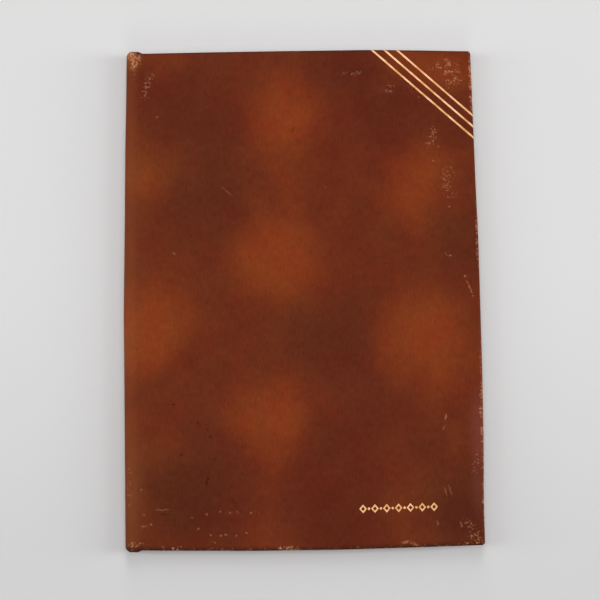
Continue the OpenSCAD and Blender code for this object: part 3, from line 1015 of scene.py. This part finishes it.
def dyed(tree, flat):
    """Colour of the leather before any wear, and its grain, which also shapes the surface."""
    blot = add(tree, "TexNoise", {"Vector": flat, "Scale": 1 / BLOT, "Detail": 5,
                                  "Roughness": 0.6})
    tone = add(tree, "Math", {0: blot, 1: BLOT_STRENGTH, 2: clouds(tree, flat)},
               operation="MULTIPLY_ADD")
    # The blots vary round one half, so this range puts their middle near the middle colour.
    level = add(tree, "MapRange", {"Value": tone, "From Min": -0.65, "From Max": 1.35})
    ramp = add(tree, "ValToRGB", {"Fac": level})
    ramp.color_ramp.elements[0].color = colour(CALF_DARK)
    ramp.color_ramp.elements[1].color = colour(CALF_LIGHT)
    ramp.color_ramp.elements.new(0.45).color = colour(CALF_MIDDLE)
    # The dye separates a little.
    split = add(tree, "TexNoise", {"Vector": flat, "Scale": 1 / DYE_PATCH, "Detail": 3})
    side = add(tree, "MapRange", {"Value": split, "From Min": 0.35, "From Max": 0.65,
                                  "To Min": 0.25, "To Max": 0.75})
    side = add(tree, "Math", {0: spots(tree, flat, PATCHES), 1: PATCH_STRENGTH, 2: side},
               operation="MULTIPLY_ADD")
    hue = add(tree, "Mix", {MIX_FACTOR: side, MIX_A: REDDER, MIX_B: MORE_OLIVE},
              data_type="RGBA")
    # The grain's streaks are drawn coarser than real so that they show from above.
    drawn = add(tree, "VectorMath", {0: flat, 1: (1 / STREAK_WIDTH, 1 / STREAK_LENGTH, 1)},
                operation="MULTIPLY")
    streaks = add(tree, "TexNoise", {"Vector": drawn, "Scale": 1, "Detail": 3, "Roughness": 0.5})
    shade = add(tree, "MapRange", {"Value": streaks, "From Min": 0.3, "From Max": 0.7,
                                   "To Min": 0.91, "To Max": 1.08})
    cloudy = add(tree, "TexNoise", {"Vector": flat, "Scale": 1 / CLOUDINESS, "Detail": 2})
    faint = add(tree, "MapRange", {"Value": cloudy, "From Min": 0.3, "From Max": 0.7,
                                   "To Min": 0.93, "To Max": 1.07})
    shade = add(tree, "Math", {0: shade, 1: faint}, operation="MULTIPLY")
    base = ramp
    for factor in (hue, shade):
        base = add(tree, "Mix", {MIX_FACTOR: 1, MIX_A: base, MIX_B: factor},
                   data_type="RGBA", blend_type="MULTIPLY")
    return base, streaks


# %% [markdown]
# Each kind of wear gives a strength from 0 to 1 at every point of the hide. All of them read the
# same places, so those are worked out once.

# %% Places for the wear
def calf_places(tree):
    """The places that the calf's patterns read, and the noise that shapes its small marks."""
    place = add(tree, "Attribute", attribute_name="place_on_hide").outputs["Vector"]
    parts = add(tree, "SeparateXYZ", {0: place}).outputs
    flat = add(tree, "VectorMath", {0: place, 1: (1, 1, 0)}, operation="MULTIPLY")
    # Wear shows on the front's face and fades down its sides.
    front = add(tree, "MapRange", {"Value": parts["Z"], "From Min": closed_t - 3.4,
                                   "From Max": closed_t - 0.8})
    flecks = add(tree, "TexNoise", {"Vector": place, "Scale": 1 / FLECK, "Detail": 3,
                                    "Roughness": 0.55, "Distortion": 0.5})
    # Small marks are never quite round or straight: the same noise shakes their places.
    shaken = add(tree, "VectorMath", {0: flecks.outputs["Color"], 1: (SHAKE, SHAKE, 0), 2: flat},
                 operation="MULTIPLY_ADD")
    uneven = add(tree, "VectorMath", {0: shaken, 1: (SHAKE / 2, SHAKE / 2, 0)},
                 operation="SUBTRACT")
    return {"place": place, "x": parts["X"], "y": parts["Y"], "z": parts["Z"], "flat": flat,
            "uneven": uneven, "front": front, "flecks": flecks}


# %% Pores and dark marks
def dark_points(tree, at):
    """Pores, dark dots and strokes. Some cells have a pore, which is longer than wide."""
    long = add(tree, "VectorMath", {0: at["flat"], 1: (1, 0.6, 1)}, operation="MULTIPLY")
    pores = add(tree, "TexVoronoi", {"Vector": long, "Scale": 1 / PORE_PITCH})
    chance = add(tree, "SeparateColor", {0: pores.outputs["Color"]})
    some = add(tree, "MapRange", {"Value": chance, "From Min": 0.6, "To Max": 0.45})
    pore = add(tree, "MapRange", {"Value": pores, "From Min": 0.05, "From Max": 0.2,
                                  "To Min": 1, "To Max": 0})
    pore = add(tree, "Math", {0: pore, 1: some}, operation="MULTIPLY")
    dots = add(tree, "Math", {0: spots(tree, at["uneven"], DARK_DOTS),
                              1: marks(tree, at["uneven"], DARK_STROKES)}, operation="MAXIMUM")
    dots = add(tree, "Math", {0: dots, 1: at["front"]}, operation="MULTIPLY")
    return add(tree, "Math", {0: pore, 1: dots}, operation="MAXIMUM")


# %% [markdown]
# Three more have soft borders: the painted sheen on the strip and spine where the hide curves,
# the wide marks of the lists, and the painted shade on the rounded rims.

# %% Painted sheen, paled places and painted shade
def spine_sheen(tree, at):
    """Painted sheen on the strip beside the spine and round its curve: a lighter, olive tan."""
    strip = add(tree, "MapRange", {"Value": at["x"], "From Min": fold_x - 1,
                                   "From Max": board_x, "To Min": 0.2, "To Max": 0},
                interpolation_type="SMOOTHSTEP")
    near = add(tree, "Math", {0: at["x"], 1: spine_x - closed_t / 2}, operation="GREATER_THAN")
    return add(tree, "Math", {0: strip, 1: near}, operation="MULTIPLY")


def wide_marks(tree, at, rows):
    """Wide soft marks on the front."""
    soft = marks(tree, at["flat"], rows, 0)
    return add(tree, "Math", {0: soft, 1: at["front"]}, operation="MULTIPLY")


def rim_shade_and_wear_mask(tree, at):
    """Painted shade on the rounded rims, darkest at the tail; the same mask places wear at the
    rims.
    """
    tail = add(tree, "MapRange", {"Value": at["y"], "From Min": -cover_y + 0.6,
                                  "From Max": 3.5 - cover_y, "To Min": 0.9, "To Max": 0})
    head = add(tree, "MapRange", {"Value": at["y"], "From Min": cover_y - 1.8,
                                  "From Max": cover_y - 0.4, "To Max": 0.6})
    fore = add(tree, "MapRange", {"Value": at["x"], "From Min": fore_x - 1.6,
                                  "From Max": fore_x - 0.3, "To Max": 0.15})
    dark = add(tree, "Math", {0: tail, 1: head}, operation="MAXIMUM")
    return add(tree, "Math", {0: dark, 1: fore}, operation="MAXIMUM")


# %% Bare leather
def bare_places(tree, at, rim_shade_and_wear):
    """Where the dye is gone: flecks in the rubbed places and along the rims, scratches, dots."""
    worn = add(tree, "Math", {0: marks(tree, at["flat"], RUBBED), 1: at["front"]},
               operation="MULTIPLY")
    below = add(tree, "MapRange", {"Value": at["z"], "From Min": 3.4, "From Max": 0.8})
    under = add(tree, "Math", {0: marks(tree, at["flat"], BACK_RUBBED), 1: below},
                operation="MULTIPLY")
    edge = add(tree, "Math", {0: rim_shade_and_wear, 1: 0.4}, operation="MULTIPLY")
    for more in (under, edge):
        worn = add(tree, "Math", {0: worn, 1: more}, operation="MAXIMUM")
    # Stronger wear brings more of the noise's peaks over the threshold; clumps group them.
    reach = add(tree, "Math", {0: worn, 1: 0.3, 2: at["flecks"]}, operation="MULTIPLY_ADD")
    clumps = add(tree, "TexNoise", {"Vector": at["place"], "Scale": 1 / CLUMP, "Detail": 2})
    reach = add(tree, "Math", {0: clumps, 1: 0.7, 2: reach}, operation="MULTIPLY_ADD")
    bare = add(tree, "MapRange", {"Value": reach, "From Min": 1.03, "From Max": 1.12})
    bare = add(tree, "Math", {0: bare, 1: worn}, operation="MULTIPLY")
    lines = add(tree, "Math", {0: marks(tree, at["uneven"], SCRATCHES),
                               1: spots(tree, at["uneven"], PALE_DOTS)}, operation="MAXIMUM")
    lines = add(tree, "Math", {0: lines, 1: at["front"]}, operation="MULTIPLY")
    return add(tree, "Math", {0: bare, 1: lines}, operation="MAXIMUM", use_clamp=True)


# %% [markdown]
# The calf is then coloured like a painting: the dye first, and over it one coat after another,
# each with its own colour where its strength says. Bare leather comes last. It is rougher than
# the glaze, and pores are sunk.

# %% Build the calf
# Colours of wear and specks, and of painted light: an olive for painted sheen at the spine, a soft
# tan for painted sheen and paled dye there, a grey pink for painted sheen at the fore edge, and a
# near-black brown for painted shade on the rims.
TAN, TAN_PALE, SPINE_SHEEN_OLIVE, RIM_SHADE = "#A25F3B", "#BE8E6C", "#8A4E2C", "#3A160A"
SHEEN_AND_PALE_TAN, SHEEN_GREY_PINK, SPECK = "#9C6034", "#985D55", "#2C0E06"


def mottled_calf():
    """The outer hide."""
    material, tree, shader = start_material("calfskin_sprinkled_and_glazed", Roughness=0.5,
                                            Specular_IOR_Level=0.05)
    at = calf_places(tree)
    base, grain = dyed(tree, at["flat"])
    points, rim_shade_and_wear = dark_points(tree, at), rim_shade_and_wear_mask(tree, at)
    bare = bare_places(tree, at, rim_shade_and_wear)
    pale = add(tree, "MapRange", {"Value": at["flecks"], "From Min": 0.45, "From Max": 0.7})
    tan = add(tree, "Mix", {MIX_FACTOR: pale, MIX_A: colour(TAN), MIX_B: colour(TAN_PALE)},
              data_type="RGBA")
    # Coats: pores and dark marks, painted sheen at the spine, paled dye with painted sheen, painted
    # sheen at the fore edge, painted shade on the rims, and bare leather last.
    coats = [(points, colour(SPECK)), (spine_sheen(tree, at), colour(SPINE_SHEEN_OLIVE)),
             (wide_marks(tree, at, PALED_AND_SPINE_SHEEN), colour(SHEEN_AND_PALE_TAN)),
             (wide_marks(tree, at, FORE_EDGE_SHEEN), colour(SHEEN_GREY_PINK)),
             (rim_shade_and_wear, colour(RIM_SHADE)), (bare, tan)]
    for strength, tint in coats:
        base = add(tree, "Mix", {MIX_FACTOR: strength, MIX_A: base, MIX_B: tint},
                   data_type="RGBA")
    rough = add(tree, "MapRange", {"Value": grain, "From Min": 0.3, "From Max": 0.7,
                                   "To Min": 0.56, "To Max": 0.44})
    rough = add(tree, "Math", {0: bare, 1: 0.3, 2: rough}, operation="MULTIPLY_ADD")
    tree.links.new(first_output(rough), shader.inputs["Roughness"])
    height = add(tree, "Math", {0: points, 1: -1.2, 2: grain}, operation="MULTIPLY_ADD")
    dress(tree, shader, base, height, 0.08, 0.5)
    return material


calf = mottled_calf()
for hide in (back_hide, front_hide):
    give(hide, calf)
print(calf.name, "has", len(calf.node_tree.nodes), "nodes")

# %% [markdown]
# ### Plain leathers
# The pockets are calf of one brown, and the lining is skiver, thinner and paler, with a soft
# grain like fine paper. Both start alike: a base colour that a slow noise varies, and a fine
# pebble grain from round cells.

# %% Pocket calf and skiver
def plain_leather(name, place, deep, pale, cell, roughness):
    """A leather of one colour, with a cell size of its grain in millimetres."""
    material, tree, shader = start_material(name, Roughness=roughness, Specular_IOR_Level=0.15)
    if place is None:
        vector = place_mm(tree)
    else:
        vector = add(tree, "Attribute", attribute_name=place).outputs["Vector"]
    slow = add(tree, "TexNoise", {"Vector": vector, "Scale": 1 / 25, "Detail": 5,
                                  "Roughness": 0.6})
    mixed = add(tree, "MapRange", {"Value": slow, "From Min": 0.3, "From Max": 0.7})
    base = add(tree, "Mix", {MIX_FACTOR: mixed, MIX_A: colour(deep), MIX_B: colour(pale)},
               data_type="RGBA")
    grain = add(tree, "TexVoronoi", {"Vector": vector, "Scale": 1 / cell}, feature="SMOOTH_F1")
    valley = add(tree, "MapRange", {"Value": grain, "From Min": 0.35, "From Max": 0.75,
                                    "To Min": 1, "To Max": 0.8})
    base = add(tree, "Mix", {MIX_FACTOR: 1, MIX_A: base, MIX_B: valley},
               data_type="RGBA", blend_type="MULTIPLY")
    dress(tree, shader, base, valley, 0.1, 0.6)
    return material


skiver = plain_leather("skiver_split_sheepskin", "place_on_hide", "#8A5A36", "#9C6A42", 0.9, 0.62)
pocket_calf = plain_leather("calfskin_dyed_and_boarded", None, "#6A3520", "#7C4028", 1.3, 0.5)
for sheet in (back_lining_sheet, front_lining_sheet):
    give(sheet, skiver)
for panel in (pad_pocket, document_pocket, card_pocket):
    give(panel, pocket_calf)
print(skiver.name, "and", pocket_calf.name)

# %% [markdown]
# ### Gold leaf
# Real leaf lies on a bed of glair. It shines like metal, but it follows the leather's grain and
# has small breaks where it was rubbed. Under soft light it looks paler and less mirror-like than
# a polished ring.

# %% Gold leaf
def gold_leaf():
    """The foil in the gilt lines and the ornament."""
    material, tree, shader = start_material("gold_leaf_tooled_hot", Metallic=0.85, Roughness=0.42)
    vector = place_mm(tree)
    slow = add(tree, "TexNoise", {"Vector": vector, "Scale": 1 / 7, "Detail": 3})
    mixed = add(tree, "MapRange", {"Value": slow, "From Min": 0.35, "From Max": 0.65})
    base = add(tree, "Mix", {MIX_FACTOR: mixed, MIX_A: colour("#B47E4A"),
                             MIX_B: colour("#CEA47C")}, data_type="RGBA")
    fine = add(tree, "TexNoise", {"Vector": vector, "Scale": 1 / 0.6, "Detail": 4})
    broken = add(tree, "MapRange", {"Value": fine, "From Min": 0.66, "From Max": 0.72})
    base = add(tree, "Mix", {MIX_FACTOR: broken, MIX_A: base, MIX_B: colour("#7A4526")},
               data_type="RGBA")
    dress(tree, shader, base, fine, 0.04, 0.4)
    return material


leaf = gold_leaf()
for foil in (gilt_lines, gilt_row):
    give(foil, leaf)
print(leaf.name)

# %% [markdown]
# ### Thread and pasteboard
# Linen thread is twisted from two plies and drawn through beeswax: fine slanted ridges, a dull
# sheen and a warm straw colour. Pasteboard is pulp: grey-brown, matt, with specks and fibres.
# Both are one pattern between two colours, and the same pattern is their bump.

# %% Waxed linen and pasteboard
def two_tone(name, roughness, pattern, dark, light, rise):
    """A material whose colour and height follow one pattern, which a function gives."""
    material, tree, shader = start_material(name, Roughness=roughness)
    seen = pattern(tree)
    base = add(tree, "Mix", {MIX_FACTOR: seen, MIX_A: colour(dark), MIX_B: colour(light)},
               data_type="RGBA")
    dress(tree, shader, base, seen, rise)
    return material


def plies(tree):
    """Slanted ridges of a twisted thread, about 0.3 mm apart."""
    turned = add(tree, "Mapping", {"Vector": place_mm(tree), "Rotation": (0, 0, math.radians(40))})
    return add(tree, "TexWave", {"Vector": turned, "Scale": 1.1, "Distortion": 1}).outputs["Fac"]


def fibres(tree):
    """Specks and fibres of pressed pulp, 1.5 mm and finer."""
    return add(tree, "TexNoise", {"Vector": place_mm(tree), "Scale": 1 / 1.5, "Detail": 6,
                                  "Roughness": 0.7}).outputs["Fac"]


linen = two_tone("linen_thread_waxed", 0.6, plies, "#8F6A42", "#C4A070", 0.05)
pulp = two_tone("pasteboard_pressed_pulp", 0.9, fibres, "#6F6452", "#A89A80", 0.1)
for thread in (pad_stitches, document_stitches, card_stitches):
    give(thread, linen)
for board in (back_pasteboard, front_pasteboard):
    give(board, pulp)
print(linen.name, "and", pulp.name)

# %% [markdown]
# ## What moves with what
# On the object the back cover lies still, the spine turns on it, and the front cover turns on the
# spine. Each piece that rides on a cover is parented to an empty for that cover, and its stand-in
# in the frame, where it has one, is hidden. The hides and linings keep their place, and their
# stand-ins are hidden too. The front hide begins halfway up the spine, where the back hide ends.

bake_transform(back_hide)
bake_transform(back_lining_sheet)
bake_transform(front_hide)
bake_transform(front_lining_sheet)
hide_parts("back_cover_leather", "lower_fold")
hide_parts("front_cover_leather", "upper_fold", "spine_leather")
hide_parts("back_lining", "lower_fold_lining")
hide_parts("front_lining", "upper_fold_lining", "spine_lining")

riders = [
    (back_pasteboard, "back", "board", "back_board"),
    (front_pasteboard, "front", "board", "front_board"),
    (pad_pocket, "back", "pocket_leather", "pad_pocket"),
    (document_pocket, "front", "pocket_leather", "document_pocket"),
    (card_pocket, "front", "pocket_leather", "card_pocket"),
    (gilt_lines, "front", "gilt", "gilt_rules"),
    (gilt_row, "front", "gilt", "gilt_ornament"),
    (pad_stitches, "back", None, None),
    (document_stitches, "front", None, None),
    (card_stitches, "front", None, None),
]
for piece, body, slot, node in riders:
    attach(piece, body)
    if node:
        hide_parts(node)
print(len(riders) + len(skins), "pieces ride or bend")

# %% [markdown]
# ## Floor, light and camera
# The portfolio was photographed from above on a pale sheet, by soft light from all round, with a
# little more of it from both sides. A large plane stands for the sheet, and wide lamps stand
# round it at several heights. Most of their light comes in low, because it then passes over the
# leather instead of hazing it, so its brown stays deep. The steep lamps and the large one
# overhead keep the shadow beside the object faint.

# %% Floor
bpy.ops.object.select_all(action="DESELECT")
bpy.ops.mesh.primitive_plane_add(size=4, location=(0, 0, -0.0002))
floor = bpy.context.object
floor.name = "floor"
paper, paper_tree, paper_shader = start_material("paper_backdrop", Roughness=0.95,
                                                 Specular_IOR_Level=0.1)
# The light falls off a little toward the tail, so the sheet is made greyer there.
north = add(paper_tree, "SeparateXYZ", {0: add(paper_tree, "TexCoord").outputs["Object"]})
fade = add(paper_tree, "MapRange", {"Value": north.outputs["Y"], "From Min": -0.22,
                                    "From Max": 0.04}, interpolation_type="SMOOTHSTEP")
sheet = add(paper_tree, "Mix", {MIX_FACTOR: fade, MIX_A: colour("#CECDCD"),
                                MIX_B: colour("#D8D7D7")}, data_type="RGBA")
paper_tree.links.new(first_output(sheet), paper_shader.inputs["Base Color"])
give(floor, paper)
print(paper.name)

# %% Lamps
LAMP_DISTANCE = 3


def lamp(name, azimuth, elevation, power, size):
    """A square soft lamp that faces the object; azimuth 0 is east and 90 is beyond the head."""
    turn, rise = math.radians(azimuth), math.radians(elevation)
    flat = math.cos(rise)
    place = Vector((math.cos(turn) * flat, math.sin(turn) * flat, math.sin(rise))) * LAMP_DISTANCE
    data = bpy.data.lights.new(name, "AREA")
    data.size, data.energy = size, power
    made = bpy.data.objects.new(name, data)
    bpy.context.collection.objects.link(made)
    made.location = place
    made.rotation_euler = (-place).to_track_quat("-Z", "Y").to_euler()


LAMPS = [
    ("right_low", 0, 14, 31, 0.8), ("right_middle", 0, 32, 17, 1), ("right_high", 0, 45, 8.5, 1),
    ("left_low", 180, 14, 19, 0.8), ("left_middle", 180, 32, 13, 1), ("left_high", 180, 45, 8, 1),
    ("head_low", 90, 16, 12, 0.8), ("head_middle", 90, 32, 9, 1), ("head_high", 90, 50, 16, 1),
    ("tail_low", -90, 14, 8, 0.8), ("tail_middle", -90, 30, 10, 1), ("steep_right", 0, 68, 3, 1),
    ("steep_head", 90, 68, 4, 1), ("steep_left", 180, 68, 5.5, 1), ("steep_tail", -90, 68, 6, 1),
    ("overhead", 0, 90, 12.5, 1.6),
]
for name, azimuth, elevation, power, size in LAMPS:
    lamp(name, azimuth, elevation, power, size)
print(len(LAMPS), "lamps")

# %% [markdown]
# Beyond the sheet the eye should meet the same pale grey, and the gold should mirror it. So the
# sky shows that grey to the camera and in reflections, but lights the leather hardly at all.

# %% Sky
SKY, SKY_LIGHT = (0.71, 0.7, 0.69, 1), 0.04
world = bpy.data.worlds.new("studio")
bpy.context.scene.world = world
world.use_nodes = True
sky_tree = world.node_tree
sky = sky_tree.nodes["Background"]
rays = add(sky_tree, "LightPath").outputs
mirrored = add(sky_tree, "Math", {0: rays["Is Glossy Ray"], 1: rays["Is Transmission Ray"]},
               operation="MAXIMUM")
shown = add(sky_tree, "Math", {0: mirrored, 1: rays["Is Camera Ray"]}, operation="MAXIMUM")
strength = add(sky_tree, "MapRange", {"Value": shown, "To Min": SKY_LIGHT})
sky_tree.links.new(first_output(strength), sky.inputs["Strength"])
sky.inputs["Color"].default_value = SKY
print("sky light:", SKY_LIGHT)

# %% [markdown]
# The camera stands a metre above the cover and looks almost straight down on it. Its place, turn
# and lens were found from where the four corners lie in the photograph.

# %% Camera
CAMERA_HEIGHT = 997.3
CAMERA_PLACE = (-29.14, -122.63, closed_t + CAMERA_HEIGHT)
CAMERA_TURN = (0.118975, -0.025547, -0.014013)
SENSOR, LENS = 36, 88.56

camera_data = bpy.data.cameras.new("camera")
camera_data.sensor_width, camera_data.lens = SENSOR, LENS
camera = bpy.data.objects.new("camera", camera_data)
bpy.context.collection.objects.link(camera)
camera.location = Vector(CAMERA_PLACE) * MM
camera.rotation_euler = CAMERA_TURN
bpy.context.scene.camera = camera
bpy.context.scene.view_settings.view_transform = "Standard"
print("camera height:", CAMERA_HEIGHT, "mm")
